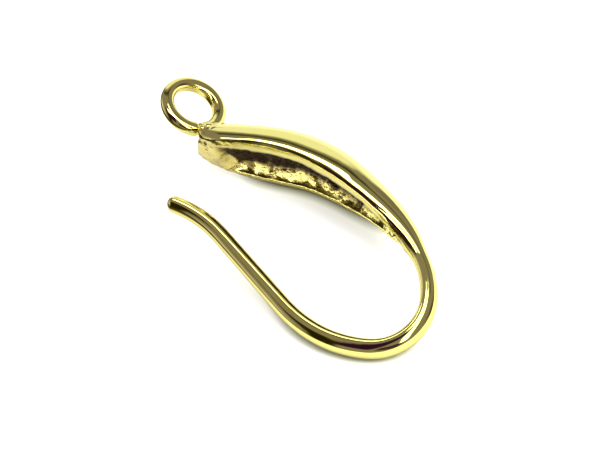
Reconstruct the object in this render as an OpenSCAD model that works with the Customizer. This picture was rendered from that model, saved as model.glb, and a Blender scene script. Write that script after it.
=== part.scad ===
// Ear wire: a cast hook whose front leg swells into a hollow-backed shell, with a loop for a drop.
// The hook is drawn flat along its middle line, then turned so that it lies as it does on a table.

/* [Wire] */
// Thickness of the wire, in the plane of the hook
wire_t = 0.9; // [0.75:0.05:1.1]
// Width of the wire, across the plane of the hook
wire_w = 1.05; // [0.8:0.05:1.3]
// Length of the tip that flares away from the shell
tip_len = 3.4; // [2.5:0.1:4.5]
// Angle of the flare
tip_angle = 27.5; // [15:0.5:35]
// Length of the straight run between the tip and the bend
run_len = 5.1; // [4:0.1:6.5]

/* [Bend] */
// Length of the wire that is bent
bend_len = 10.9; // [9.5:0.1:12.5]
// Angle of the bend, from the straight run to the root of the shell
bend_angle = 165; // [155:0.5:172]

/* [Shell] */
// Length of the shell along its back, from the wire to the nose
shell_len = 13.9; // [12:0.1:15]
// Angle by which the shell goes on bending
shell_angle = 51.5; // [40:0.5:60]
// Width of the shell where it is widest
shell_w = 4.1; // [3.2:0.1:4.8]
// Depth of the shell, from its rims to its crest
shell_d = 1.9; // [1.5:0.05:2.2]
// Thickness of metal under the crest
shell_wall = 0.45; // [0.3:0.05:0.7]
// Width of each rim where the shell is widest
rim_w = 0.65; // [0.4:0.05:1]
// Length over which the crest rounds down to the blunt nose
nose_len = 1.3; // [0.8:0.1:2]
// Angle by which the nose's blunt end is filed off square, seen from its crest
nose_bevel = 16; // [4:1:20]
// Angle by which the same end slopes back toward the hollow
nose_rake = 18; // [4:1:24]

/* [Loop] */
// Diameter of the loop's hole
loop_bore_d = 2; // [1.5:0.05:2.4]
// Diameter of the loop's wire
loop_wire_d = 0.68; // [0.5:0.02:0.85]
// Length of the straight land inside the hole, burnished flat where a ring runs
loop_land = 0.3; // [0.2:0.05:0.4]
// Angle between the line of the shell and the line from the nose to the loop's middle
loop_lean = 62.5; // [45:0.5:70]
// Angle by which the loop is twisted out of the plane of the hook
loop_twist = 38.5; // [20:0.5:45]
// Open seam between the two ends of the loop
loop_seam = 0.08; // [0.05:0.01:0.2]
// Gap between the nose and the loop, bridged by solder
loop_gap = 0.22; // [0.1:0.02:0.3]

/* [Hidden] */
GOLD = "#d9c26b";

// How the wire's thickness and width run from its tip to the shell
// columns: share of the wire's length, share of wire_t and wire_w
WIRE = [
    [0.00, 0.90],
    [0.25, 0.94],
    [0.62, 1.04],
    [0.80, 0.96],
    [1.00, 0.86],
];

// How the bend's length and angle are shared out between its arcs
// columns: share of bend_len, share of bend_angle
BEND = [
    [0.20, 0.100],
    [0.15, 0.095],
    [0.10, 0.055],
    [0.35, 0.585],
    [0.20, 0.165],
];

// The same for the shell's back
// columns: share of shell_len, share of shell_angle
BACK = [
    [0.16, 0.23],
    [0.32, 0.35],
    [0.20, 0.38],
    [0.32, 0.04],
];

// How the shell swells out of the wire and closes at its nose
// columns: share of shell_len, share of the growth to shell_w, of the growth to shell_d, of the hollow
SWELL = [
    [0.00, 0.00, 0.00, 0.00],
    [0.08, 0.14, 0.23, 0.02],
    [0.18, 0.42, 0.49, 0.50],
    [0.30, 0.71, 0.66, 0.86],
    [0.45, 0.95, 0.94, 1.00],
    [0.60, 1.00, 1.00, 1.00],
    [0.74, 1.00, 0.95, 0.92],
    [0.84, 0.83, 0.87, 0.66],
    [0.91, 0.66, 0.77, 0.00],
    [1.00, 0.40, 0.55, 0.00],
];

// Solder that bridges the gap between the loop and the nose
// columns: angle round the loop from its foot, share of loop_wire_d, share of the loop's radius
BRIDGE = [
    [14, 0.95, 1.22],
    [34, 1.00, 1.25],
];

// Beads of solder left standing on the nose's flank
// columns: share of nose_len back from the end, share of shell_d outward, share of half shell_w, share of loop_wire_d
BEADS = [
    [0.34, 0.07, 0.41, 0.55],
    [0.54, 0.13, 0.43, 0.62],
    [0.76, 0.18, 0.44, 0.55],
];

wire_len = tip_len + run_len + bend_len;
full_len = wire_len + shell_len;
dome_len = wire_t * 0.45;

// Steps between the tip's dome and the nose, and the length over which one arc eases into the next
BODY_STEPS = 88;
ease = 0.03 * full_len;

function total(rows, column, upto) =
    upto == 0 ? 0 : rows[upto - 1][column] + total(rows, column, upto - 1);

// Arcs of the whole middle line as [length, turn], from the tip to the nose
arcs = concat(
    [[tip_len, -tip_angle], [run_len, 0]],
    [for (row = BEND) [row[0] * bend_len, row[1] * bend_angle]],
    [for (row = BACK) [row[0] * shell_len, row[1] * shell_angle]]
);
knots = [
    for (i = [0 : len(arcs)])
        [total(arcs, 0, i), tip_angle + total(arcs, 1, i)]
];

// Heading of the middle line at length s, averaged over the ease so that no arc starts abruptly
EASE_STEPS = 6;
function heading(s) =
    let (samples = [
        for (i = [-EASE_STEPS : EASE_STEPS])
            lookup(s + i * ease / (2 * EASE_STEPS), knots)
    ])
    samples * [for (x = samples) 1] / len(samples);

// Value of a column at t, on a smooth curve through the rows
function slope(rows, c, i) =
    i == 0 || i == len(rows) - 1 ? 0 :
    (rows[i + 1][c] - rows[i - 1][c]) / (rows[i + 1][0] - rows[i - 1][0]);
function row_at(rows, t, i = 0) =
    i >= len(rows) - 2 || t <= rows[i + 1][0] ? i : row_at(rows, t, i + 1);
function smooth(rows, c, t) =
    let (
        i = row_at(rows, t),
        span = rows[i + 1][0] - rows[i][0],
        x = (t - rows[i][0]) / span,
        m0 = slope(rows, c, i) * span,
        m1 = slope(rows, c, i + 1) * span
    )
    rows[i][c] * (1 + 2 * x) * pow(1 - x, 2) + m0 * x * pow(1 - x, 2)
    + rows[i + 1][c] * x * x * (3 - 2 * x) + m1 * x * x * (x - 1);

// Where the sections stand: close together on the tip's dome and on the nose
DOME_STEPS = 4;
NOSE_STEPS = 6;
stations = concat(
    [for (i = [0 : DOME_STEPS - 1]) dome_len * (1 - cos(90 * (i + 0.4) / (DOME_STEPS + 0.4)))],
    [for (i = [0 : BODY_STEPS]) dome_len + (full_len - dome_len - nose_len) * i / BODY_STEPS],
    [for (i = [1 : NOSE_STEPS]) full_len - nose_len * (1 - sin(90 * i / NOSE_STEPS))]
);

// Points of the middle line at the stations
function walk(s0, s1) =
    let (h = heading((s0 + s1) / 2))
    (s1 - s0) * [cos(h), sin(h), 0];
middle = [
    for (i = 0, p = walk(0, stations[0]); i < len(stations);
         p = p + (i + 1 < len(stations) ? walk(stations[i], stations[i + 1]) : [0, 0, 0]), i = i + 1)
        p
];

// One section as [depth to the front, depth to the back, half width, squareness, hollow]
function dome(s) = s < dome_len ? sqrt(1 - pow(1 - s / dome_len, 2)) : 1;
function wire_section(s) =
    let (share = smooth(WIRE, 1, s / wire_len) * dome(s))
    [share * wire_t / 2, share * wire_t / 2, share * wire_w / 2, 2, 0];
function nose_round(s, len, drop) =
    let (x = max(0, 1 - (full_len - s) / len))
    1 - drop * (1 - sqrt(1 - x * x));
function shell_section(s) =
    let (
        t = (s - wire_len) / shell_len,
        join = min(1, t / 0.35),
        blend = join * join * (3 - 2 * join),
        root = wire_section(wire_len),
        depth = 2 * root[0] + (shell_d - 2 * root[0]) * smooth(SWELL, 2, t),
        half = root[2] + (shell_w / 2 - root[2]) * smooth(SWELL, 1, t),
        back = depth * (0.5 - 0.34 * blend),
        front = (depth - back) * nose_round(s, nose_len, 0.45),
        hollow = smooth(SWELL, 3, t) * (shell_d - shell_wall)
    )
    [front, back, half * nose_round(s, nose_len / 2, 0.25), 2 + blend,
        max(0, min(hollow, front + back - shell_wall * 0.8))];
function section(s) = s <= wire_len ? wire_section(s) : shell_section(s);

// Outline of a section, from the lower edge round the crest to the upper edge and back across the hollow
FRONT_STEPS = 14;
HOLLOW_STEPS = 10;
opening = 1 - 2 * rim_w / shell_w;
function back_depth(shape, q) = shape[1] * pow(1 - pow(abs(q), shape[3]), 1 / shape[3]);
function across(shape, q) =
    let (inside = max(0, 1 - pow(q / opening, 2)))
    [shape[4] * sqrt(inside) - back_depth(shape, q), q * shape[2]];
LIP = [0.975, 0.9];
function outline(shape) = concat(
    [for (i = [0 : FRONT_STEPS]) let (a = -90 + 180 * i / FRONT_STEPS) [shape[0] * cos(a), shape[2] * sin(a)]],
    [for (x = LIP) across(shape, x)],
    [for (i = [0 : HOLLOW_STEPS]) across(shape, opening * cos(180 * i / HOLLOW_STEPS))],
    [for (i = [len(LIP) - 1 : -1 : 0]) across(shape, -LIP[i])]
);

// Shift of a section's origin, which keeps the middle line half way between rims and crest
function shift(shape) = (shape[1] - shape[0]) / 2;
function ring(i) =
    let (
        shape = section(stations[i]),
        h = heading(stations[i]),
        forth = [cos(h), sin(h), 0],
        out = [sin(h), -cos(h), 0],
        cut = pow(max(0, 1 - (full_len - stations[i]) / (1.5 * nose_len)), 2)
    )
    [for (p = outline(shape))
        let (x = p[0] + shift(shape), lead = cut * (x * tan(nose_rake) - p[1] * tan(nose_bevel)))
        middle[i] + lead * forth + x * out + [0, 0, p[1]]];
rings = [for (i = [0 : len(stations) - 1]) ring(i)];
sides = len(rings[0]);
skin = [for (r = rings) each r];

// Directions at the nose, and the loop's middle and axis
nose_heading = heading(full_len);
neck = [cos(nose_heading - loop_lean), sin(nose_heading - loop_lean), 0];
loop_r = loop_wire_d / 2;
loop_R = loop_bore_d / 2 + sqrt(pow(loop_r, 2) - pow(loop_land / 2, 2));
nose_at = middle[len(middle) - 1];
loop_at = nose_at + neck * (loop_R + loop_r + loop_gap);
loop_side = cross([0, 0, 1], neck);
loop_axis = cos(loop_twist) * [0, 0, 1] - sin(loop_twist) * loop_side;

// The shell outweighs the wire, so the hook rests on one rim of the shell, in two places, and on the
// bend, and its tip stands clear
function unit(v) = v / norm(v);
function lowest(points, up, i = 0, best = 0) =
    i == len(points) ? points[best] :
    lowest(points, up, i + 1, points[i] * up < points[best] * up ? i : best);
function zone(from, to) = [for (i = [0 : len(rings) - 1]) if (stations[i] >= from && stations[i] <= to) each rings[i]];
bend_zone = zone(tip_len + run_len, wire_len);
belly_zone = zone(wire_len + shell_len * 0.2, wire_len + shell_len * 0.52);
nose_zone = zone(wire_len + shell_len * 0.56, full_len);
function settle(up, rounds) =
    rounds == 0 ? up :
    let (
        a = lowest(bend_zone, up),
        b = lowest(belly_zone, up),
        c = lowest(nose_zone, up)
    )
    settle(unit(cross(b - a, c - a)), rounds - 1);
up = settle([0, 0, 1], 8);

// Turning that brings up to vertical with the straight run along X
along = unit([1, 0, 0] - (up * [1, 0, 0]) * up);
turned = [along, cross(up, along), up];
low = [for (k = [0 : 2]) min(
    min([for (p = skin) turned[k] * p]),
    turned[k] * loop_at - loop_reach(k)
)];
high = [for (k = [0 : 2]) max(
    max([for (p = skin) turned[k] * p]),
    turned[k] * loop_at + loop_reach(k)
)];
function loop_reach(k) = loop_R * norm(cross(turned[k], loop_axis)) + loop_r;
home = [(low[0] + high[0]) / 2, (low[1] + high[1]) / 2, low[2]];
POSE = [for (k = [0 : 2]) concat(turned[k], -home[k])];

// Wire and shell as one closed skin: a band of triangles between each two rings, and a cap at each end
module hook() {
    last = len(rings) - 1;
    bands = [
        for (i = [0 : last - 1], j = [0 : sides - 1])
            let (a = i * sides + j, b = i * sides + (j + 1) % sides)
            each [[a, b, b + sides], [a, b + sides, a + sides]]
    ];
    caps = concat(
        [[for (j = [sides - 1 : -1 : 0]) j]],
        [[for (j = [0 : sides - 1]) last * sides + j]]
    );
    polyhedron(points = skin, faces = concat(bands, caps), convexity = 8);
}

// Stands what is drawn round Z on the loop's middle, with the loop's foot on +X
module at_loop() {
    foot = -neck;
    side = cross(loop_axis, foot);
    multmatrix([for (k = [0 : 2]) [foot[k], side[k], loop_axis[k], loop_at[k]]])
        children();
}

module loop() {
    seam_angle = 360 * loop_seam / (2 * PI * loop_R);
    at_loop()
        rotate([0, 0, 3])
            rotate_extrude(angle = 360 - seam_angle, $fn = 96)
                intersection() {
                    translate([loop_R, 0])
                        circle(r = loop_r);
                    translate([loop_bore_d / 2, -loop_r])
                        square(loop_r * 2);
                }
}

module solder() {
    at_loop()
        for (row = BRIDGE)
            rotate([0, 0, row[0]])
                translate([loop_R * row[2], 0, 0])
                    sphere(d = loop_wire_d * row[1], $fn = 32);
    forth = [cos(nose_heading), sin(nose_heading), 0];
    out = [sin(nose_heading), -cos(nose_heading), 0];
    for (row = BEADS)
        translate(nose_at - row[0] * nose_len * forth + row[1] * shell_d * out + [0, 0, row[2] * shell_w / 2])
            sphere(d = loop_wire_d * row[3], $fn = 24);
}

module ear_wire() {
    color(GOLD)
        multmatrix(POSE) {
            hook();
            loop();
            solder();
        }
}

ear_wire();
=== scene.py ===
# %% [markdown]
# # An ear wire of gold-plated brass
# The real thing is a small casting, less than 2 cm long. A thin hook passes through the ear, its
# front leg swells into a long shell with a polished crest and a rough hollow behind it, and a ring
# of round wire is soldered to the shell's blunt nose. It lies on a pale table, on its wire and on
# one rim of the shell.
#
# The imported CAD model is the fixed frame: everything here is in metres, in its axes. The CAD solid
# is faceted, so this script works the same forms out again, far finer, from the same sizes.

import bpy
import numpy as np
from mathutils import Matrix, Vector


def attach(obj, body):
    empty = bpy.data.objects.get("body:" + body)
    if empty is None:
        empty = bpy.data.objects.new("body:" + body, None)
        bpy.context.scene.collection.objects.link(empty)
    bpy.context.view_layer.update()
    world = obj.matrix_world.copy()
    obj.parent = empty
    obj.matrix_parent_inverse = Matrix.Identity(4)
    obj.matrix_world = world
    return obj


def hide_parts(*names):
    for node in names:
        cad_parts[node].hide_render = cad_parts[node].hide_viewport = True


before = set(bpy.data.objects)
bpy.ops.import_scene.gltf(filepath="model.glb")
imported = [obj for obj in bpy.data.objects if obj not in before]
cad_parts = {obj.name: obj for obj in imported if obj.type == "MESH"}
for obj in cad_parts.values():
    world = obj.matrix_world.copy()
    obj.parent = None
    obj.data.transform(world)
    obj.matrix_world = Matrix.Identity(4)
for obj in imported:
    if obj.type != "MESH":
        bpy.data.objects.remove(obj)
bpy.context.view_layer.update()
MM = 0.001

# %% [markdown]
# ## The camera
# The photograph looks down on the table at not quite 50 degrees, past the hook's bend, and its
# frame is turned a little against the table. The camera comes first, because every choice about
# shine is made through it. It stands where the outline of the CAD model falls on the outline in
# the photograph.

# %% Camera
LENS_MM = 180.0
SENSOR_MM = 36.0
VIEW_AZIMUTH = 69.41
VIEW_ELEVATION = 49.29
VIEW_ROLL = -17.71
VIEW_DISTANCE = 139.27 * MM
AIM_RIGHT = 0.215 * MM
AIM_UP = 0.405 * MM


def view_axes(azimuth, elevation):
    """Unit vectors toward the eye, to its right and up, for a view at these angles in degrees."""
    a, e = np.radians(azimuth), np.radians(elevation)
    toward = np.array([np.sin(a) * np.cos(e), -np.cos(a) * np.cos(e), np.sin(e)])
    right = np.array([np.cos(a), np.sin(a), 0.0])
    return toward, right, np.cross(toward, right)


eye, level_right, level_up = view_axes(VIEW_AZIMUTH, VIEW_ELEVATION)
roll = np.radians(VIEW_ROLL)
eye_right = np.cos(roll) * level_right + np.sin(roll) * level_up
eye_up = np.cross(eye, eye_right)
camera_data = bpy.data.cameras.new("view")
camera_data.lens = LENS_MM
camera_data.sensor_width = SENSOR_MM
camera_data.clip_start = 0.005
camera = bpy.data.objects.new("view", camera_data)
bpy.context.collection.objects.link(camera)
camera.rotation_mode = "QUATERNION"
camera.rotation_quaternion = Matrix(np.stack([eye_right, eye_up, eye], axis=1)).to_quaternion()
camera.location = Vector(eye_right * AIM_RIGHT + eye_up * AIM_UP + eye * VIEW_DISTANCE)
bpy.context.scene.camera = camera
print("camera at mm", [round(c / MM, 1) for c in camera.location])

# %% [markdown]
# ## The sizes
# These are the driving sizes of the hook, in millimetres and degrees, as in the CAD source. The
# tables say how each length and turn is shared out along the hook. All shares are of the named
# sizes above them.

# %% Sizes of the wire, the shell and the loop
WIRE_T, WIRE_W = 0.90, 1.05
TIP_LEN, TIP_TURN, RUN_LEN = 3.4, 27.5, 5.1
BEND_LEN, BEND_TURN = 10.9, 165.0
SHELL_LEN, SHELL_TURN = 13.9, 51.5
SHELL_W, SHELL_D, SHELL_WALL, RIM_W = 4.1, 1.9, 0.45, 0.65
NOSE_LEN, NOSE_BEVEL, NOSE_RAKE = 1.3, 16.0, 18.0
LOOP_BORE_D, LOOP_WIRE_D, LOOP_LAND = 2.0, 0.68, 0.3
LOOP_LEAN, LOOP_TWIST, LOOP_SEAM, LOOP_GAP = 62.5, 38.5, 0.08, 0.22

WIRE_LEN = TIP_LEN + RUN_LEN + BEND_LEN
FULL_LEN = WIRE_LEN + SHELL_LEN
EASE = 0.03 * FULL_LEN
DOME_LEN = WIRE_T * 0.45
print("length of the middle line in mm", round(FULL_LEN, 2))

# %% Tables of shares
# share of the wire's length, share of WIRE_T and WIRE_W
WIRE_TAPER = np.array([[0.00, 0.90], [0.25, 0.94], [0.62, 1.04], [0.80, 0.96], [1.00, 0.86]])
# share of BEND_LEN, share of BEND_TURN
BEND_ARCS = np.array([[0.20, 0.100], [0.15, 0.095], [0.10, 0.055], [0.35, 0.585], [0.20, 0.165]])
# share of SHELL_LEN, share of SHELL_TURN
BACK_ARCS = np.array([[0.16, 0.23], [0.32, 0.35], [0.20, 0.38], [0.32, 0.04]])
# share of SHELL_LEN, share of the growth in width, of the growth in depth, of the hollow
SHELL_SWELL = np.array([
    [0.00, 0.00, 0.00, 0.00],
    [0.08, 0.14, 0.23, 0.02],
    [0.18, 0.42, 0.49, 0.50],
    [0.30, 0.71, 0.66, 0.86],
    [0.45, 0.95, 0.94, 1.00],
    [0.60, 1.00, 1.00, 1.00],
    [0.74, 1.00, 0.95, 0.92],
    [0.84, 0.83, 0.87, 0.66],
    [0.91, 0.66, 0.77, 0.00],
    [1.00, 0.40, 0.55, 0.00],
])

# %% [markdown]
# ## The middle line
# A hook is drawn most easily as a line that turns: each stretch has a length and an angle through
# which it bends. Averaging the heading over a short ease keeps one arc from starting abruptly where
# another ends. The points follow by adding up small steps, which numpy does in one call.

# %% Heading and points of the middle line
arcs = np.vstack([
    [[TIP_LEN, -TIP_TURN], [RUN_LEN, 0.0]],
    BEND_ARCS * [BEND_LEN, BEND_TURN],
    BACK_ARCS * [SHELL_LEN, SHELL_TURN],
])
knots = np.vstack([[0.0, TIP_TURN], [0.0, TIP_TURN] + np.cumsum(arcs, axis=0)])


def heading(s):
    """Heading in degrees at lengths s: the knots' straight-line value, averaged over the ease."""
    offsets = np.linspace(-EASE / 2, EASE / 2, 13)
    return np.interp(np.add.outer(s, offsets), knots[:, 0], knots[:, 1]).mean(axis=-1)


def smooth_share(table, column, t):
    """Value of a column at t, on a cubic through the rows, sloped at each as its neighbours are."""
    x, y = table[:, 0], table[:, column]
    slopes = np.zeros(len(x))
    slopes[1:-1] = (y[2:] - y[:-2]) / (x[2:] - x[:-2])
    i = np.clip(np.searchsorted(x, t, side="right") - 1, 0, len(x) - 2)
    span = x[i + 1] - x[i]
    u = np.clip((t - x[i]) / span, 0.0, 1.0)
    return (
        y[i] * (1 + 2 * u) * (1 - u) ** 2 + slopes[i] * span * u * (1 - u) ** 2
        + y[i + 1] * u**2 * (3 - 2 * u) + slopes[i + 1] * span * u**2 * (u - 1)
    )


FINE_STEP = 0.06
dome_s = DOME_LEN * (1 - np.cos(np.radians(np.linspace(4, 90, 14))))
nose_s = FULL_LEN - NOSE_LEN * (1 - np.sin(np.radians(np.linspace(0, 90, 34))))
body_count = int((FULL_LEN - DOME_LEN - NOSE_LEN) / FINE_STEP)
body_s = np.linspace(DOME_LEN, FULL_LEN - NOSE_LEN, body_count)
stations = np.concatenate([dome_s, body_s[1:], nose_s[1:]])
turn = np.radians(heading(stations))
half_turn = np.radians(heading((stations[1:] + stations[:-1]) / 2))
steps = np.diff(stations)[:, None] * np.stack([np.cos(half_turn), np.sin(half_turn)], axis=1)
start = stations[0] * np.array([np.cos(turn[0]), np.sin(turn[0])])
middle = np.pad(np.vstack([start, start + np.cumsum(steps, axis=0)]), ((0, 0), (0, 1)))
print(len(stations), "stations, nose at", middle[-1].round(2))

# %% [markdown]
# ## The section
# Every section is one closed outline: half an ellipse in front, and a flatter curve behind, which
# in the shell is pushed in to make the hollow. The wire is the same outline with nothing pushed in,
# so wire and shell are one skin with no joint between them, as in the casting.

# %% Depth, width and hollow at every station
on_wire = stations <= WIRE_LEN
up_dome = np.clip(stations / DOME_LEN, 0, 1)
dome = np.sqrt(1 - (1 - up_dome) ** 2)
wire_share = smooth_share(WIRE_TAPER, 1, np.minimum(stations / WIRE_LEN, 1.0)) * dome
root_share = WIRE_TAPER[-1, 1]


def rounding(length, drop):
    """1 along the shell, falling by drop on a quarter ellipse over the last length."""
    x = np.clip(1 - (FULL_LEN - stations) / length, 0, 1)
    return 1 - drop * (1 - np.sqrt(1 - x * x))


def grown(root, full, share_column):
    """A size that grows from the root's to its full one by a column of the shell's table."""
    return root + (full - root) * smooth_share(SHELL_SWELL, share_column, t)


# over the first share of the shell the section changes from the wire's, level with its middle line,
# to one with most of its depth in front; at the nose, front and width round off
JOIN_SHARE, BACK_SHIFT = 0.35, 0.34
THIN_WALL = SHELL_WALL * 0.8  # the hollow never leaves less than this
NOSE_DEPTH_DROP, NOSE_WIDTH_DROP = 0.45, 0.25
t = np.clip((stations - WIRE_LEN) / SHELL_LEN, 0.0, 1.0)
join = np.minimum(1.0, t / JOIN_SHARE)
changed = join**2 * (3 - 2 * join)
depth = grown(root_share * WIRE_T, SHELL_D, 2)
shell_half = grown(root_share * WIRE_W, SHELL_W, 1) / 2
back = np.where(on_wire, wire_share * WIRE_T / 2, depth * (0.5 - BACK_SHIFT * changed))
round_front = (depth - back) * rounding(NOSE_LEN, NOSE_DEPTH_DROP)
front = np.where(on_wire, wire_share * WIRE_T / 2, round_front)
round_half = shell_half * rounding(NOSE_LEN / 2, NOSE_WIDTH_DROP)
half = np.where(on_wire, wire_share * WIRE_W / 2, round_half)
square = np.where(on_wire, 2.0, 2 + changed)
hollow = smooth_share(SHELL_SWELL, 3, t) * (SHELL_D - SHELL_WALL)
deepest = front + back - THIN_WALL
hollow = np.where(on_wire, 0.0, np.clip(np.minimum(hollow, deepest), 0, None))
print("deepest hollow in mm", round(float(hollow.max()), 2))

# %% Outline of the section on a grid of stations and places round it
FRONT_PLACES, LIP_PLACES, HOLLOW_PLACES = 56, 9, 45
OPENING = 1 - 2 * RIM_W / SHELL_W
front_angle = np.radians(np.linspace(-90, 90, FRONT_PLACES))
lip_q = np.sin(np.linspace(np.pi / 2, np.arcsin(OPENING), LIP_PLACES + 2)[1:-1])
hollow_q = OPENING * np.cos(np.linspace(0, np.pi, HOLLOW_PLACES))
behind_q = np.concatenate([lip_q, hollow_q, -lip_q[::-1]])
is_front = np.concatenate([np.ones(FRONT_PLACES), np.zeros(len(behind_q))])[None, :]
q = np.concatenate([np.sin(front_angle), behind_q])[None, :]
column = np.newaxis
ahead = front[:, column] * np.concatenate([np.cos(front_angle), np.zeros(len(behind_q))])
flat_back = back[:, column] * (1 - np.abs(q) ** square[:, column]) ** (1 / square[:, column])
pushed = hollow[:, column] * np.sqrt(np.clip(1 - (q / OPENING) ** 2, 0, 1))
outward = np.where(is_front > 0, ahead, pushed - flat_back) + (back - front)[:, column] / 2
across = q * half[:, column]
print("skin grid", outward.shape)

# %% [markdown]
# The blunt nose is filed off askew, so the last sections lead or lag along the hook. Then the
# whole skin is turned to the way it lies on the table. The shell outweighs the wire, so it rests on
# one rim of the shell, in two places, and on the bend, and the tip stands clear by a millimetre.
# The plane of the table is found by looking for the lowest point of each until nothing changes.

# %% Skin of the hook, drawn flat
ahead_dir = np.stack([np.cos(turn), np.sin(turn), 0 * turn], axis=1)[:, column, :]
out_dir = np.stack([np.sin(turn), -np.cos(turn), 0 * turn], axis=1)[:, column, :]
plane_up = np.array([0.0, 0.0, 1.0])
FILED_LEN = 1.5 * NOSE_LEN
cut = np.clip(1 - (FULL_LEN - stations) / FILED_LEN, 0, None)[:, column] ** 2
lead = cut * (outward * np.tan(np.radians(NOSE_RAKE)) - across * np.tan(np.radians(NOSE_BEVEL)))
skin = (
    middle[:, column, :] + lead[..., column] * ahead_dir
    + outward[..., column] * out_dir + across[..., column] * plane_up
)

# %% How it lies
def stretch(low_s, high_s):
    """Points of the skin whose stations lie between two lengths."""
    return skin[(stations >= low_s) & (stations <= high_s)].reshape(-1, 3)


def unit(v):
    """v at length 1."""
    return v / np.linalg.norm(v)


# it can rest on the bend, and on the shell's rim in two stretches
stands_on = [
    stretch(TIP_LEN + RUN_LEN, WIRE_LEN),
    stretch(WIRE_LEN + SHELL_LEN * 0.2, WIRE_LEN + SHELL_LEN * 0.52),
    stretch(WIRE_LEN + SHELL_LEN * 0.56, FULL_LEN),
]
up = plane_up
for _ in range(8):
    a, b, c = (points[np.argmin(points @ up)] for points in stands_on)
    up = unit(np.cross(b - a, c - a))
along = unit(np.array([1.0, 0.0, 0.0]) - up[0] * up)
pose = np.stack([along, np.cross(up, along), up])
print("hook's plane leans by", round(float(np.degrees(np.arccos(up[2]))), 1), "degrees")

# %% [markdown]
# ## The loop
# The loop is a ring of round wire bent until its ends meet at the nose's corner. It is a circle
# carried round a circle, a torus with a narrow gap. Inside, where a drop's ring would run, the
# round wire is worn to a short straight land.

# %% Ring of the loop
nose = middle[-1]
nose_ahead, nose_out = ahead_dir[-1, 0], out_dir[-1, 0]
lean = np.radians(LOOP_LEAN)
to_loop = nose_ahead * np.cos(lean) + np.cross(nose_ahead, plane_up) * np.sin(lean)
tube_r = LOOP_WIRE_D / 2
ring_r = LOOP_BORE_D / 2 + np.sqrt(tube_r**2 - (LOOP_LAND / 2) ** 2)
loop_middle = nose + to_loop * (ring_r + tube_r + LOOP_GAP)
twist = np.radians(LOOP_TWIST)
loop_axis = np.cos(twist) * plane_up - np.sin(twist) * np.cross(plane_up, to_loop)
foot_x = -to_loop
foot_y = np.cross(loop_axis, foot_x)
SEAM_ANGLE = LOOP_SEAM / ring_r
SEAM_AT = np.radians(3)


def on_loop(radius, angle, height):
    """Points at a distance from the loop's axis, an angle from its foot, and a height along it."""
    radius, angle, height = np.broadcast_arrays(radius, angle, height)
    return (
        loop_middle + (radius * np.cos(angle))[..., None] * foot_x
        + (radius * np.sin(angle))[..., None] * foot_y + height[..., None] * loop_axis
    )


RING_PLACES, TUBE_PLACES, END_PLACES = 260, 44, 5
END_ROUND = 0.16
sweep = np.linspace(SEAM_AT, SEAM_AT + 2 * np.pi - SEAM_ANGLE, RING_PLACES)[:, column]
end_turn = np.linspace(0, np.pi / 2, END_PLACES, endpoint=False)[:, column]
tube = np.linspace(0, 2 * np.pi, TUBE_PLACES, endpoint=False)[column, :]
shrink = np.concatenate([
    1 - END_ROUND * (1 - np.sin(end_turn)), np.ones((RING_PLACES - 2 * END_PLACES, 1)),
    1 - END_ROUND * (1 - np.sin(end_turn[::-1])),
])
tube_x = ring_r + tube_r * shrink * np.cos(tube)
ring = on_loop(np.maximum(tube_x, LOOP_BORE_D / 2), sweep, tube_r * shrink * np.sin(tube))
print("loop's middle, drawn flat", loop_middle.round(2))

# %% [markdown]
# ## Solder
# Solder runs into the crevice between the loop and the nose and sets with a smooth fillet. Where
# two skins cross, each is therefore swollen a little: a point gets pushed along its normal by an
# amount that is greatest on the other skin and fades to nothing over the fillet's width. A few
# beads stay standing on the nose's flank.

# %% Centres of the solder beads
# angle round the loop from its foot, share of LOOP_WIRE_D, share of the ring's radius
BRIDGE = np.array([[14.0, 0.95, 1.22], [34.0, 1.00, 1.25]])
# shares of NOSE_LEN back from the end, of SHELL_D outward, of half SHELL_W across, of LOOP_WIRE_D
BEADS = np.array([[0.34, 0.07, 0.42, 0.55], [0.56, 0.13, 0.43, 0.66], [0.80, 0.18, 0.45, 0.50]])
bridge_at = on_loop(ring_r * BRIDGE[:, 2], np.radians(BRIDGE[:, 0]), 0.0)
bead_at = (
    nose - BEADS[:, :1] * NOSE_LEN * nose_ahead
    + BEADS[:, 1:2] * SHELL_D * nose_out + BEADS[:, 2:3] * SHELL_W / 2 * plane_up
)
ball_at = np.vstack([bridge_at, bead_at])
ball_r = LOOP_WIRE_D / 2 * np.concatenate([BRIDGE[:, 1], BEADS[:, 3]])
BALL_ROWS, BALL_PLACES = 17, 32
lat = np.linspace(np.pi / 2, -np.pi / 2, BALL_ROWS)[1:-1]
lon = np.linspace(0, 2 * np.pi, BALL_PLACES, endpoint=False)
ball = np.stack(np.broadcast_arrays(
    np.cos(lat)[:, None] * np.cos(lon), np.cos(lat)[:, None] * np.sin(lon), np.sin(lat)[:, None]
), axis=-1)
print(len(ball_at), "balls of solder")

# %% Fillets where the skins cross
FILLET = 0.24
NEAR_NOSE = 3 * NOSE_LEN  # length of the hook that the solder can touch
FOOT_REACH = 2.2  # mm from the nose's end, as far as the ring can touch the nose
SEAM_CLEAR = 0.25  # radians of the ring beside the seam over which the fillet grows from nothing


def from_loop(points):
    """Distance to the loop's tube, negative inside: the distance to its ring less its radius."""
    rel = points - loop_middle
    height = rel @ loop_axis
    radial = np.sqrt(np.clip((rel**2).sum(-1) - height**2, 0, None))
    return np.hypot(radial - ring_r, height) - tube_r


def from_balls(points):
    """Distance to the nearest ball of solder, negative inside."""
    gap = np.linalg.norm(points[..., None, :] - ball_at, axis=-1) - ball_r
    return gap.min(axis=-1)


def swell(gap):
    """Outward push of a smooth union: a quarter of the fillet where skins cross, fading to none."""
    return FILLET / 4 * np.clip(1 - np.abs(gap) / FILLET, 0, 1) ** 2


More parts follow.
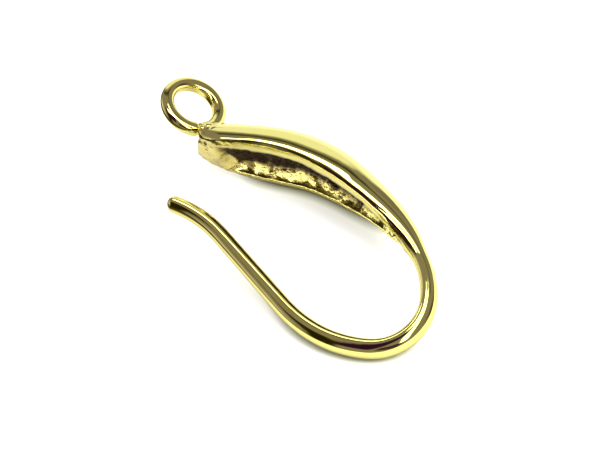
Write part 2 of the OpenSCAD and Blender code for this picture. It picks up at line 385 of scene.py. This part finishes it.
def grid_normals(grid):
    """Unit normals of a grid whose rows close on themselves: the cross product of its slopes."""
    down = np.gradient(grid, axis=0)
    round_it = np.roll(grid, -1, axis=1) - np.roll(grid, 1, axis=1)
    n = np.cross(down, round_it)
    return n / np.maximum(np.linalg.norm(n, axis=-1, keepdims=True), 1e-12)


near = stations > FULL_LEN - NEAR_NOSE
push = np.zeros(skin.shape[:2])
push[near] = swell(np.minimum(from_loop(skin[near]), from_balls(skin[near])))
skin_normals = grid_normals(skin)
skin = skin + push[..., None] * skin_normals
ring_normals = grid_normals(ring)
nose_points = skin[near].reshape(-1, 3)[::3]
nose_normals = skin_normals[near].reshape(-1, 3)[::3]


def from_nose(points):
    """Distance to the nose's skin along the normal of its nearest point, negative inside."""
    flat = points.reshape(-1, 3)
    nearest = ((flat[:, None, :] - nose_points[None]) ** 2).sum(-1).argmin(axis=1)
    gap = ((flat - nose_points[nearest]) * nose_normals[nearest]).sum(-1)
    return gap.reshape(points.shape[:-1])


foot_rows = np.linalg.norm(ring.mean(axis=1) - nose, axis=-1) < FOOT_REACH
foot_gap = np.full(ring.shape[:2], np.inf)
foot_gap[foot_rows] = from_nose(ring[foot_rows])
foot_gap = np.minimum(foot_gap, from_balls(ring))
past_seam = np.clip((sweep - SEAM_AT) / SEAM_CLEAR, 0, 1)
ring_push = swell(foot_gap) * past_seam * (sweep < np.pi)
ring = ring + ring_push[..., None] * ring_normals
print("largest fillet push in mm", round(float(push.max()), 3), round(float(ring_push.max()), 3))

# %% [markdown]
# ## The rough hollow
# Nobody polishes the back of such a casting, so the hollow keeps the lumps and pits of the mould.
# Noise is worked out on the points themselves: a random value at each corner of a lattice, smoothly
# mixed in between, at a few sizes of lattice. It moves the skin of the hollow and of the nose's
# filed face in and out, and the lip a little, and leaves the outside alone.

# %% Lattice noise
SEED = 7


def lattice_value(cell):
    """Pseudo-random number from 0 to 1 for whole-number cells: the fraction of a large sine."""
    mix = cell @ np.array([127.1, 311.7, 74.7]) + SEED * 19.19
    value = np.sin(mix) * 43758.5453
    return value - np.floor(value)


def noise(points, size):
    """Smooth noise from -1 to 1 with lumps of a size: corner values mixed by smooth steps."""
    p = points / size
    cell = np.floor(p)
    f = p - cell
    f = f * f * (3 - 2 * f)
    total = np.zeros(points.shape[:-1])
    for corner in np.ndindex(2, 2, 2):
        weight = np.prod(np.where(np.array(corner) == 1, f, 1 - f), axis=-1)
        total += weight * lattice_value(cell + corner)
    return 2 * total - 1


trial = noise(ring, 0.5)
print("noise over the loop runs from", trial.min().round(2), "to", trial.max().round(2))

# %% Lumps and pits
# heights and sizes of the lumps and of the finer grain, in mm
LUMP_H, LUMP_SIZE, NOSE_LUMP_SIZE = 0.08, 0.33, 0.5
GRAIN_H, GRAIN_SIZE = 0.045, 0.24
# the nose's face and the lip are less rough than the hollow, which has the full height
NOSE_ROUGH, LIP_ROUGH = 0.85, 0.16
HOLLOW_EDGE, HOLLOW_SOFT = 1.06, 0.12  # of the opening's half width, and the share it fades over
FACE_LEN, FACE_STARTS_OVER = 2.3 * NOSE_LEN, 0.5
FACE_SOFT, LIP_SOFT = 0.2, 0.1  # shares of the half width over which the two fade to the edge
BOTTOM_DEPTH, LIP_DEPTH = 0.35, 0.1  # depth of the hollow in mm at which it and its lip are rough
behind = is_front == 0


def from_edge(soft):
    """0 at the two edges of the section, rising to 1 over a share of its half width."""
    return np.clip((1 - np.abs(q)) / soft, 0, 1)


in_hollow = behind * np.clip((1 - np.abs(q) / (OPENING * HOLLOW_EDGE)) / HOLLOW_SOFT, 0, 1)
bottom = in_hollow * np.clip(hollow / BOTTOM_DEPTH, 0, 1)[:, column]
on_nose = np.clip((stations - (FULL_LEN - FACE_LEN)) / FACE_STARTS_OVER, 0, 1)
nose_face = on_nose[:, column] * behind
lip = LIP_ROUGH * behind * np.clip(hollow / LIP_DEPTH, 0, 1)[:, column]
rough = np.maximum(bottom, NOSE_ROUGH * nose_face * from_edge(FACE_SOFT))
rough = np.clip(np.maximum(rough, lip * from_edge(LIP_SOFT)), 0, 1)
ridges = (1 - 2 * np.abs(noise(skin + 5, GRAIN_SIZE))) * np.maximum(in_hollow, nose_face)
big = np.where(nose_face > 0.5, noise(skin + 9, NOSE_LUMP_SIZE), noise(skin, LUMP_SIZE))
lumps = LUMP_H * big + GRAIN_H * ridges
skin = skin + (rough * lumps)[..., None] * grid_normals(skin)
print("share of the skin left rough", round(float((rough > 0.3).mean()), 3))

# %% Painted shade and tarnish
# length back from the nose in mm, and the place across the hollow from which painted shade darkens
# it
PAINTED_SHADE_FROM = np.array([
    [0.9, 0.90], [1.5, 0.20], [1.9, -0.57], [4.5, -0.60], [5.7, -0.62],
    [7.0, -0.655], [10.0, -0.65], [11.5, -0.60], [13.0, -0.30],
])
PAINTED_SHADE_EDGE, LUMPS_STAY_BRIGHT = 0.06, 8
# pits are dark too, from a depth in mm and over so many more, the nose's a little less
PIT_TARNISH, PIT_FROM, PIT_SOFT, NOSE_PITS = 0.8, 0.02, 0.04, 0.7
# the hollow's upper wall lies in shade under the upper rim, and that shade is painted dark; raised
# lumps stay brighter
dark_from = np.interp(FULL_LEN - stations, PAINTED_SHADE_FROM[:, 0], PAINTED_SHADE_FROM[:, 1])[:, column]
painted_shade_band = (q - dark_from) / PAINTED_SHADE_EDGE + 0.5 - LUMPS_STAY_BRIGHT * lumps
painted_shade_and_tarnish = bottom * np.clip(painted_shade_band, 0, 1)
in_pits = np.maximum(bottom, NOSE_PITS * rough) * np.clip(-(lumps + PIT_FROM) / PIT_SOFT, 0, 1)
painted_shade_and_tarnish = np.maximum(painted_shade_and_tarnish, PIT_TARNISH * in_pits)
print("share of the hollow tarnished", round(float(painted_shade_and_tarnish.sum() / bottom.sum()), 2))

# %% [markdown]
# ## One mesh
# The skins become one mesh. A grid of points turns into four-sided faces by pairing each row with
# the next, and caps close its two ends. Two numbers on every point say how rough the casting is
# there and how much painted shade and tarnish it gets, for the material to read.

# %% Faces of a grid
def tube_faces(rows, places):
    """Four-sided faces of a grid whose rows close on themselves, row by row, as indices."""
    i, j = np.meshgrid(np.arange(rows - 1), np.arange(places), indexing="ij")
    a, b = i * places + j, i * places + (j + 1) % places
    return np.stack([b, a, a + places, b + places], axis=-1).reshape(-1, 4)


def closed_tube(grid):
    """Points and faces of a grid of rings whose two ends are closed by a fan round their middle."""
    rows, places = grid.shape[:2]
    points = np.vstack([grid.reshape(-1, 3), grid[0].mean(axis=0), grid[-1].mean(axis=0)])
    j = np.arange(places)
    k = (j + 1) % places
    first, last = rows * places, rows * places + 1
    last_row = (rows - 1) * places
    fan_a = np.stack([np.full(places, first), j, k], axis=-1)
    fan_b = np.stack([np.full(places, last), k + last_row, j + last_row], axis=-1)
    return points, tube_faces(rows, places), np.vstack([fan_a, fan_b])


print("faces of the hook's sides", tube_faces(*skin.shape[:2]).shape[0])

# %% Put the skins together and lay them on the table
parts = [closed_tube(skin), closed_tube(ring)]
parts += [closed_tube(centre + radius * ball) for centre, radius in zip(ball_at, ball_r)]
offsets = np.cumsum([0] + [len(points) for points, _, _ in parts])
flat_points = np.vstack([points for points, _, _ in parts])
quads = np.vstack([quad + offset for (_, quad, _), offset in zip(parts, offsets)])
fans = np.vstack([fan + offset for (_, _, fan), offset in zip(parts, offsets)])
laid = flat_points @ pose.T
low, high = laid.min(axis=0), laid.max(axis=0)
centre_down = np.array([(low[0] + high[0]) / 2, (low[1] + high[1]) / 2, low[2]])
laid -= centre_down
print("size in mm", (high - low).round(2))

# %% Mesh object
def for_all_points(hook_values):
    """A value for each point of the mesh: the hook's own come first, and the rest get 0."""
    values = np.zeros(len(laid), dtype=np.float32)
    values[: hook_values.size] = hook_values.ravel()
    return values


mesh = bpy.data.meshes.new("gold_ear_wire")
mesh.from_pydata((laid * MM).tolist(), [], quads.tolist() + fans.tolist())
mesh.update()
mesh.polygons.foreach_set("use_smooth", np.ones(len(mesh.polygons), dtype=bool))
for name, hook_values in (("cast", rough), ("painted_shade_and_tarnish", painted_shade_and_tarnish)):
    attribute = mesh.attributes.new(name, "FLOAT", "POINT")
    attribute.data.foreach_set("value", for_all_points(hook_values))
ear_wire = bpy.data.objects.new("gold_ear_wire", mesh)
bpy.context.collection.objects.link(ear_wire)
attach(ear_wire, "root")
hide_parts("ear_wire")
print(len(mesh.polygons), "faces")

# %% [markdown]
# ## Gold plate
# The plate is pale, lemon gold, close to a mirror outside. In the hollow it covers the rough skin
# of the casting, so it glints in points and is dull and brownish in its pits. Under the upper rim,
# where the hollow lies in shade, that shade is painted into the colour as dark brown. A metal's
# colour is the colour of its reflections, so one Principled BSDF with full metal is enough, and the
# rest is that painted shade, roughness and bump.

# %% Steps of a material
# each works in whatever node tree the socket that it starts from belongs to
def feed(socket, value):
    """Link a socket to the one that feeds it, or hold it at a constant."""
    if isinstance(value, bpy.types.NodeSocket):
        socket.id_data.links.new(value, socket)
    else:
        socket.default_value = tuple(value) if isinstance(value, np.ndarray) else value


def spread(value, low, high, to_low=0.0, to_high=1.0):
    """Output socket of a value between two limits, spread over two others and held there."""
    node = value.id_data.nodes.new("ShaderNodeMapRange")
    feed(node.inputs["Value"], value)
    feed(node.inputs["From Min"], low)
    feed(node.inputs["From Max"], high)
    feed(node.inputs["To Min"], to_low)
    feed(node.inputs["To Max"], to_high)
    return node.outputs["Result"]


def maths(operation, first, second=0.0):
    """Output socket of one step of arithmetic on a socket and another, or a number."""
    node = first.id_data.nodes.new("ShaderNodeMath")
    node.operation = operation
    feed(node.inputs[0], first)
    feed(node.inputs[1], second)
    return node.outputs["Value"]


def vector_maths(operation, first, second=(0.0, 0.0, 0.0)):
    """Output socket of one step on a socket's vector and another, or a constant vector."""
    node = first.id_data.nodes.new("ShaderNodeVectorMath")
    node.operation = operation
    feed(node.inputs[0], first)
    feed(node.inputs[1], second)
    return node.outputs["Value" if operation == "DOT_PRODUCT" else "Vector"]


def blend(share, first, second):
    """Output socket of a colour between a first and a second, each a socket or a constant."""
    node = share.id_data.nodes.new("ShaderNodeMix")
    node.data_type = "RGBA"
    feed(node.inputs["Factor"], share)
    feed(node.inputs[6], first)
    feed(node.inputs[7], second)
    return node.outputs[2]


def new_material(name):
    """A node material, its node tree and its Principled BSDF."""
    material = bpy.data.materials.new(name)
    material.use_nodes = True
    return material, material.node_tree, material.node_tree.nodes["Principled BSDF"]


# %% Material
LEMON_GOLD = (0.88, 0.81, 0.25, 1.0)
WARM_GOLD = (0.86, 0.70, 0.24, 1.0)
# dark brown paints the shade under the upper rim into the colour, and the tarnish in the pits
SHADE_AND_TARNISH_BROWN = (0.024, 0.013, 0.012, 1.0)
gold, tree, shader = new_material("lemon_gold_plate")
shader.inputs["Metallic"].default_value = 1.0
place = tree.nodes.new("ShaderNodeTexCoord").outputs["Object"]


def attribute_value(name):
    """Output socket of a point attribute of the mesh."""
    node = tree.nodes.new("ShaderNodeAttribute")
    node.attribute_name = name
    return node.outputs["Fac"]


def cloud(lump_mm, detail):
    """Output socket of a noise on Object coordinates whose lumps are about so many millimetres."""
    node = tree.nodes.new("ShaderNodeTexNoise")
    node.inputs["Scale"].default_value = 1 / (lump_mm * MM)
    node.inputs["Detail"].default_value = detail
    feed(node.inputs["Vector"], place)
    return node.outputs["Fac"]


def relief(height, rise_mm):
    """A bump node of full strength for a height whose 1 rises so many millimetres."""
    node = tree.nodes.new("ShaderNodeBump")
    node.inputs["Strength"].default_value = 1.0
    node.inputs["Distance"].default_value = rise_mm * MM
    feed(node.inputs["Height"], height)
    return node


cast, painted_shade_and_tarnished = attribute_value("cast"), attribute_value("painted_shade_and_tarnish")
print("material", gold.name)

# %% Colour of the plate
# the plate runs a little warmer in patches and where it is rough, and browns where shade under the
# upper rim is painted and where its pits tarnish
WARM_PATCHES, WARM_WHERE_CAST = 0.5, 0.75
BROWN_AT_LEAST = 0.95
patches = spread(cloud(1.6, 2), 0.42, 0.70, 0.0, WARM_PATCHES)
warm = maths("MAXIMUM", patches, maths("MULTIPLY", cast, WARM_WHERE_CAST))
plate = blend(warm, LEMON_GOLD, WARM_GOLD)
painted_shade_and_browning = maths("MULTIPLY", painted_shade_and_tarnished, spread(cloud(0.09, 3), 0.35, 0.70, 1.0, BROWN_AT_LEAST))
feed(shader.inputs["Base Color"], blend(painted_shade_and_browning, plate, SHADE_AND_TARNISH_BROWN))

# %% Gloss and fine relief of the plate
# rubbing leaves patches a little duller, and the casting's skin is duller and grainy
RUBBED_FROM, RUBBED_TO = 0.045, 0.10
CAST_DULLS, SHADE_AND_TARNISH_DULLS = 0.09, 0.18
rubbed = spread(cloud(0.5, 4), 0.35, 0.75, RUBBED_FROM, RUBBED_TO)
dull = maths("ADD", rubbed, maths("MULTIPLY", cast, CAST_DULLS))
feed(shader.inputs["Roughness"], maths("ADD", dull, maths("MULTIPLY", painted_shade_and_tarnished, SHADE_AND_TARNISH_DULLS)))
ripple = relief(cloud(0.7, 1), 0.006)
grain = relief(maths("MULTIPLY", cloud(0.12, 3), cast), 0.035)
feed(grain.inputs["Normal"], ripple.outputs["Normal"])
feed(shader.inputs["Normal"], grain.outputs["Normal"])
mesh.materials.append(gold)
print(len(tree.nodes), "nodes")

# %% [markdown]
# ## Table
# The table is plain white paper. The photograph is exposed so that the paper burns out to white,
# while the metal shows it as a middle tone. One exposure can't do both without going wrong in the
# metal, so the paper is lighter to the camera than it is to the metal. Shade is painted into its
# colour: it is darker close under the piece, and to the metal also on the left of the nose, where
# the photographed paper is in shade.

# %% Table
PAPER_TO_CAMERA = (0.96, 0.96, 0.95, 1.0)
PAPER_TO_METAL = (0.56, 0.55, 0.53, 1.0)
# painted contact shade: the paper's colour close under the piece, to the camera and to the metal
PAINTED_CONTACT_SHADE_TO_CAMERA = (0.30, 0.31, 0.20, 1.0)
PAINTED_CONTACT_SHADE_TO_METAL = (0.07, 0.06, 0.045, 1.0)
# painted shade: the paper's colour to the metal on the left of the nose
PAINTED_SHADE_TO_METAL = (0.03, 0.025, 0.01, 1.0)
SHADE_FROM, SHADE_TO = 6.5 * MM, 9.0 * MM  # how far left of the middle the shade sets in
# how near the piece has to be for painted shade to darken the paper, in mm, and how open the
# paper's sky is where it is darkest and where it is plain again
NEAR_TO_METAL, NEAR_TO_CAMERA = (2.5, 0.2, 0.85), (0.5, 0.30, 0.85)
TABLE_HALF = 0.6
table_mesh = bpy.data.meshes.new("table")
table_mesh.from_pydata([
    (-TABLE_HALF, -TABLE_HALF, 0), (TABLE_HALF, -TABLE_HALF, 0),
    (TABLE_HALF, TABLE_HALF, 0), (-TABLE_HALF, TABLE_HALF, 0),
], [], [(0, 1, 2, 3)])
table = bpy.data.objects.new("table", table_mesh)
bpy.context.collection.objects.link(table)
paper, paper_tree, paper_shader = new_material("pale_paper")
paper_shader.inputs["Roughness"].default_value = 0.9
paper_shader.inputs["Specular IOR Level"].default_value = 0.0
to_eye = paper_tree.nodes.new("ShaderNodeLightPath").outputs["Is Camera Ray"]
spot = paper_tree.nodes.new("ShaderNodeTexCoord").outputs["Object"]


def open_sky(reach_mm, low, high):
    """Output socket: 0 where the piece hides much of what lies within reach, 1 in the open."""
    node = paper_tree.nodes.new("ShaderNodeAmbientOcclusion")
    node.inputs["Distance"].default_value = reach_mm * MM
    return spread(node.outputs["AO"], low, high)


shade = spread(vector_maths("DOT_PRODUCT", spot, -level_right), SHADE_FROM, SHADE_TO)
lit_to_metal = blend(open_sky(*NEAR_TO_METAL), PAINTED_CONTACT_SHADE_TO_METAL, PAPER_TO_METAL)
to_metal = blend(shade, lit_to_metal, PAINTED_SHADE_TO_METAL)
to_camera = blend(open_sky(*NEAR_TO_CAMERA), PAINTED_CONTACT_SHADE_TO_CAMERA, PAPER_TO_CAMERA)
feed(paper_shader.inputs["Base Color"], blend(to_eye, to_metal, to_camera))
table_mesh.materials.append(paper)
print("table", 2 * TABLE_HALF, "m wide")

# %% [markdown]
# ## Light
# Polished metal looks like what surrounds it, so the light is drawn as cards round the table. They
# are laid out as a mirror ball on the table would show them to the camera: x to the right and y up
# in the ball's picture, from -1 to 1. The middle of the ball shows the camera, its top shows what
# lies beyond the table, and its rim what is behind the ball. A place on the ball stands for the
# direction that it mirrors, and the way back is short: the ball's normal is half way between that
# direction and the eye.

# %% Cards on the mirror ball
# x, y, turn in degrees, half width, half height, softness, then red, green and blue brightness
CARDS = {
    "back wall": (0.0, 1.10, 0, 1.4, 0.41, 0.06, 1.0, 1.02, 1.05),
    "left wall": (-1.05, -0.1, 0, 0.45, 0.60, 0.25, 1.15, 1.05, 1.3),
    "door": (0.66, 0.14, -10, 0.27, 0.26, 0.2, 0.07, 0.045, 0.04),
    "shelf": (-0.14, 0.635, 0, 0.38, 0.055, 0.05, 0.05, 0.05, 0.02),
    "shelf end": (0.21, 0.53, -55, 0.14, 0.05, 0.05, 0.04, 0.035, 0.02),
    "right wall": (0.47, 0.62, -25, 0.22, 0.10, 0.08, 0.20, 0.19, 0.22),
    "camera side": (-0.26, 0.10, 63, 0.31, 0.15, 0.05, 0.03, 0.006, 0.05),
    "tripod": (-0.02, -0.24, -15, 0.20, 0.13, 0.05, 0.06, 0.02, 0.07),
    "soft box": (0.045, 0.16, -72, 0.36, 0.08, 0.04, 4.0, 4.0, 4.0),
    "left dark": (-0.51, -0.10, 80, 0.38, 0.10, 0.05, 0.02, 0.015, 0.0),
}
ROOM = (0.26, 0.235, 0.26, 1.0)


def card_group():
    """A node group: 1 where a place on the ball is inside a turned rectangle, softly 0 outside."""
    group = bpy.data.node_groups.new("light card", "ShaderNodeTree")
    for name in ("Place", "Centre", "Across", "Along"):
        group.interface.new_socket(name, in_out="INPUT", socket_type="NodeSocketVector")
    for name in ("Half width", "Half height", "Softness"):
        group.interface.new_socket(name, in_out="INPUT", socket_type="NodeSocketFloat")
    group.interface.new_socket("Mask", in_out="OUTPUT", socket_type="NodeSocketFloat")
    given = group.nodes.new("NodeGroupInput").outputs
    offset = vector_maths("SUBTRACT", given["Place"], given["Centre"])
    sides = []
    for axis, limit in (("Across", "Half width"), ("Along", "Half height")):
        reach = maths("ABSOLUTE", vector_maths("DOT_PRODUCT", offset, given[axis]))
        side = spread(maths("SUBTRACT", given[limit], reach), 0.0, given["Softness"])
        side.node.interpolation_type = "SMOOTHSTEP"
        sides.append(side)
    leave = group.nodes.new("NodeGroupOutput")
    feed(leave.inputs["Mask"], maths("MULTIPLY", *sides))
    return group


card = card_group()
print(len(CARDS), "cards")

# %% World
world = bpy.data.worlds.new("studio")
bpy.context.scene.world = world
world.use_nodes = True
sky = world.node_tree
sky.nodes.clear()
direction = sky.nodes.new("ShaderNodeTexCoord").outputs["Generated"]
ball_normal = vector_maths("NORMALIZE", vector_maths("ADD", direction, eye))
ball_place = sky.nodes.new("ShaderNodeCombineXYZ")
feed(ball_place.inputs["X"], vector_maths("DOT_PRODUCT", ball_normal, eye_right))
feed(ball_place.inputs["Y"], vector_maths("DOT_PRODUCT", ball_normal, eye_up))
light = ROOM
for name, (x, y, turned, half_w, half_h, soft, *colour) in CARDS.items():
    cos, sin = np.cos(np.radians(turned)), np.sin(np.radians(turned))
    node = sky.nodes.new("ShaderNodeGroup")
    node.node_tree = card
    node.label = name
    for socket, value in (
        ("Place", ball_place.outputs["Vector"]), ("Centre", (x, y, 0)),
        ("Across", (cos, sin, 0)), ("Along", (-sin, cos, 0)),
        ("Half width", half_w), ("Half height", half_h), ("Softness", soft),
    ):
        feed(node.inputs[socket], value)
    light = blend(node.outputs["Mask"], light, (*colour, 1.0))

# the paper gets a plain fill instead, stronger from one side: a colour, the side it comes from,
# the heights on that side between which it grows, and how strong it is at each
FILL_LIGHT = (1.0, 1.0, 0.985)
FILL_FROM = 0.8 * eye_right + 0.75 * eye
FILL_LOW, FILL_HIGH = -0.2, 0.9
FILL_FAINT, FILL_STRONG = 0.75, 3.0
fill_side = vector_maths("DOT_PRODUCT", direction, unit(FILL_FROM))
fill = sky.nodes.new("ShaderNodeVectorMath")
fill.operation = "SCALE"
fill.inputs[0].default_value = FILL_LIGHT
feed(fill.inputs["Scale"], spread(fill_side, FILL_LOW, FILL_HIGH, FILL_FAINT, FILL_STRONG))
on_paper = sky.nodes.new("ShaderNodeLightPath").outputs["Is Diffuse Ray"]
background = sky.nodes.new("ShaderNodeBackground")
feed(background.inputs["Color"], blend(on_paper, light, fill.outputs["Vector"]))
output = sky.nodes.new("ShaderNodeOutputWorld")
feed(output.inputs["Surface"], background.outputs["Background"])
# tones go straight to the picture, with no film curve that would dull the white paper
bpy.context.scene.view_settings.view_transform = "Standard"
print("world of", len(sky.nodes), "nodes")

# %% [markdown]
# One soft lamp besides the cards gives the paper its white and its soft shadow. It is hidden from
# the metal, where the soft box already shines.

# %% Lamp
LAMP_FROM = 0.7 * eye_right + 0.2 * eye_up + 0.9 * eye
LAMP_AWAY = 90 * MM
LAMP_SIZE = 40 * MM
LAMP_POWER = 0.10
lamp_data = bpy.data.lights.new("soft lamp", "AREA")
lamp_data.size = LAMP_SIZE
lamp_data.energy = LAMP_POWER
lamp = bpy.data.objects.new("soft lamp", lamp_data)
bpy.context.collection.objects.link(lamp)
lamp_way = unit(LAMP_FROM)
lamp.location = Vector(lamp_way * LAMP_AWAY)
lamp.rotation_euler = Vector(-lamp_way).to_track_quat("-Z", "Y").to_euler()
lamp.visible_glossy = False
print("lamp stands", round(float(np.degrees(np.arcsin(lamp_way[2])))), "degrees up")

# %% [markdown]
# ## Strip lights
# The bright lines along the shell's rim and on the bend belong to those places alone, so they can't
# come from a card far away, which every part of the piece would mirror. Small strip lights close by
# draw them, as a jeweller's photographer would. Only the metal sees them.

# %% Strip lights
def mirrored(x, y):
    """Direction that the mirror ball shows at x, y: the eye's, thrown back by the normal there."""
    normal = x * eye_right + y * eye_up + np.sqrt(1 - x * x - y * y) * eye
    return 2 * (normal @ eye) * normal - eye


def on_table(line, back_from_nose):
    """Point of a line along the skin, in mm on the table, at a length back from the nose."""
    row = np.searchsorted(stations, FULL_LEN - back_from_nose)
    return line[row] @ pose.T - centre_down


def strip_light(name, ends, faces, wide, glow):
    """A thin lamp between two points in mm, facing a third; its power is 4 * glow * its area."""
    start, stop = ends
    long_way = unit(stop - start)
    toward = unit(faces - (start + stop) / 2)
    toward = unit(toward - (toward @ long_way) * long_way)
    strip_data = bpy.data.lights.new(name, "AREA")
    strip_data.shape = "RECTANGLE"
    strip_data.size = float(np.linalg.norm(stop - start)) * MM
    strip_data.size_y = wide * MM
    strip_data.energy = 4 * glow * strip_data.size * strip_data.size_y
    strip = bpy.data.objects.new(name, strip_data)
    bpy.context.collection.objects.link(strip)
    turned = Matrix(np.stack([long_way, np.cross(-toward, long_way), -toward], axis=1))
    strip.rotation_mode = "QUATERNION"
    strip.rotation_quaternion = turned.to_quaternion()
    strip.location = Vector((start + stop) / 2 * MM)
    strip.visible_camera = False
    strip.visible_diffuse = False
    print(name, "is", round(strip_data.size / MM, 1), "mm long")


LOW_WALL_AT = 0.86  # share of the hollow's way round, from the upper rim
upper_rim = skin[:, FRONT_PLACES - 1]
low_wall = skin[:, FRONT_PLACES + LIP_PLACES + int(LOW_WALL_AT * HOLLOW_PLACES)]
# each end mirrored: the line it lies on, the length back from the nose, the place on the ball;
# then how far away the strip is and how wide, both in mm, and its glow
STRIPS = {
    "rim strip": (
        (upper_rim, 1.2, (-0.52, 0.36)), (upper_rim, 9.2, (0.03, 0.50)), 6.0, 1.4, 3.5,
    ),
    "bend strip": (
        (middle, 18.2, (-0.18, 0.58)), (middle, 16.0, (-0.23, 0.33)), 8.0, 1.6, 3.5,
    ),
    "hollow strip": (
        (low_wall, 2.6, (-0.50, 0.15)), (low_wall, 12.6, (-0.50, 0.15)), 2.5, 1.1, 1.7,
    ),
}
for name, (*mirrored_ends, away, wide, glow) in STRIPS.items():
    seen = [on_table(line, length) for line, length, _ in mirrored_ends]
    ways = [mirrored(*ball_xy) for _, _, ball_xy in mirrored_ends]
    ends = [point + away * way for point, way in zip(seen, ways)]
    strip_light(name, ends, (seen[0] + seen[1]) / 2, wide, glow)
